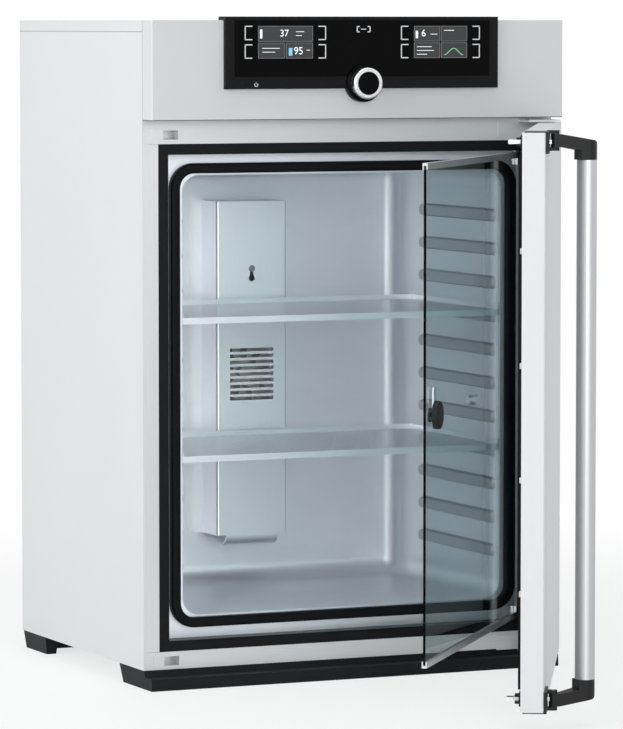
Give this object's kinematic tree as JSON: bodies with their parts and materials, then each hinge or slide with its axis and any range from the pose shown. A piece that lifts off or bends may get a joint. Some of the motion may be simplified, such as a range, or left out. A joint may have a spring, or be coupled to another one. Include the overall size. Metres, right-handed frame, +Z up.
{
  "type": "carbon dioxide incubator",
  "caption": "Bench carbon dioxide incubator: insulated cabinet, outer door with a bar handle, inner glass door, ribbed steel chamber with perforated shelves, and a fascia with displays.",
  "frame": {"origin": "centre of the underside of the front plinth", "axes": "+Z up, the doors face -Y, the door hinges are on the +X side"},
  "size_m": [0.7264, 1.213, 1.0597],
  "materials": {
    "grey_paint": "satin",
    "stainless": "satin",
    "steel_sheet": "satin",
    "black_plastic": "matte",
    "black_gloss": "gloss",
    "black_rubber": "matte",
    "white_plastic": "satin",
    "tube_aluminium": "satin",
    "clear_glass": "gloss",
    "foam_board": "matte",
    "circuit_board": "satin",
    "motor_metal": "satin",
    "brass_fitting": "satin"
  },
  "bodies": {
    "cabinet": {"access_port_tube": "stainless", "bottom_pan": "steel_sheet", "chamber_gasket": "black_rubber", "chamber_liner": "stainless", "co2_sensor": "white_plastic", "compartment_floor": "steel_sheet", "control_board": "circuit_board", "cover_screw": "stainless", "displays": "black_gloss", "fan_cover": "stainless", "fan_motor": "motor_metal", "fascia": "grey_paint", "frame_rails": "stainless", "frame_stiles": "stainless", "front_plinth": "black_plastic", "gas_injector": "stainless", "gas_nozzle": "brass_fitting", "gas_valve": "brass_fitting", "glass_hinge_pins": "stainless", "heater_mats": "black_rubber", "hinge_brackets": "stainless", "insulation": "foam_board", "knob_boss": "black_gloss", "latch_keepers": "stainless", "left_side_panel": "grey_paint", "mains_inlet": "black_plastic", "panel_glass": "black_gloss", "panel_housing": "black_plastic", "power_supply": "motor_metal", "rear_panel": "grey_paint", "rear_plinth": "black_plastic", "right_side_panel": "grey_paint", "temperature_probe": "stainless", "thermal_frame": "black_plastic", "top_cover": "grey_paint"},
    "outer_door": {"door_shell": "grey_paint", "door_inner_panel": "stainless", "door_core": "foam_board", "door_seal": "black_rubber", "door_plugs": "white_plastic", "corner_caps": "black_plastic", "handle_pins": "stainless", "latch_guides": "black_plastic", "door_bushes": "black_plastic"},
    "handle": {"upper_handle_arm": "black_plastic", "lower_handle_arm": "black_plastic", "handle_tube": "tube_aluminium", "latch_hooks": "stainless"},
    "glass_door": {"glass_pane": "clear_glass", "glass_channels": "stainless", "glass_clamps": "stainless"},
    "glass_latch": {"latch_knob": "black_plastic", "latch_tongue": "stainless"},
    "control_knob": {"knob_ring": "stainless"},
    "confirm_key": {"confirm_button": "black_gloss"},
    "power_key": {"power_button": "black_plastic"},
    "fan": {"fan_impeller": "white_plastic"},
    "shelf_upper": {"upper_shelf": "stainless"},
    "shelf_lower": {"lower_shelf": "stainless"},
    "stopper": {"port_plug": "stainless"}
  },
  "joints": [
    {"name": "outer_door_hinge", "type": "hinge", "parent": "cabinet", "child": "outer_door", "pos_m": [0.34693, -0.04902, 0.4583], "axis": [0, 0, 1], "range_deg": [-60.8, 54.2]},
    {"name": "handle_pivot", "type": "hinge", "parent": "outer_door", "child": "handle", "pos_m": [0.05212, -0.63576, 0.4583], "axis": [0, 0, -1], "range_deg": [-12, 6]},
    {"name": "glass_door_hinge", "type": "hinge", "parent": "cabinet", "child": "glass_door", "pos_m": [0.30156, -0.01108, 0.45825], "axis": [0, 0, 1], "range_deg": [-50.6, 45.2]},
    {"name": "glass_latch_turn", "type": "hinge", "parent": "glass_door", "child": "glass_latch", "pos_m": [-0.06482, -0.45554, 0.458], "axis": [-0.7716, 0.6361, 0], "range_deg": [-90, 0]},
    {"name": "knob_turn", "type": "hinge", "parent": "cabinet", "child": "control_knob", "pos_m": [0, -0.08, 0.9543], "axis": [0, -1, 0], "continuous": true},
    {"name": "confirm_push", "type": "slide", "parent": "cabinet", "child": "confirm_key", "axis": [0, 1, 0], "range_m": [0, 0.002], "stiffness_N_per_m": 400},
    {"name": "power_push", "type": "slide", "parent": "cabinet", "child": "power_key", "axis": [0, 1, 0], "range_m": [0, 0.0012], "stiffness_N_per_m": 400},
    {"name": "fan_spin", "type": "hinge", "parent": "cabinet", "child": "fan", "pos_m": [-0.014, 0.4, 0.463], "axis": [0, -1, 0], "continuous": true},
    {"name": "upper_shelf_slide", "type": "slide", "parent": "cabinet", "child": "shelf_upper", "axis": [0, -1, 0], "range_m": [0, 0.035]},
    {"name": "lower_shelf_slide", "type": "slide", "parent": "cabinet", "child": "shelf_lower", "axis": [0, -1, 0], "range_m": [0, 0.035]},
    {"name": "stopper_pull", "type": "slide", "parent": "cabinet", "child": "stopper", "axis": [-1, 0, 0], "range_m": [0, 0.04]}
  ],
  "couplings": [
    {"joint": "glass_door_hinge", "follows": "outer_door_hinge", "ratio": 0.83059}
  ]
}
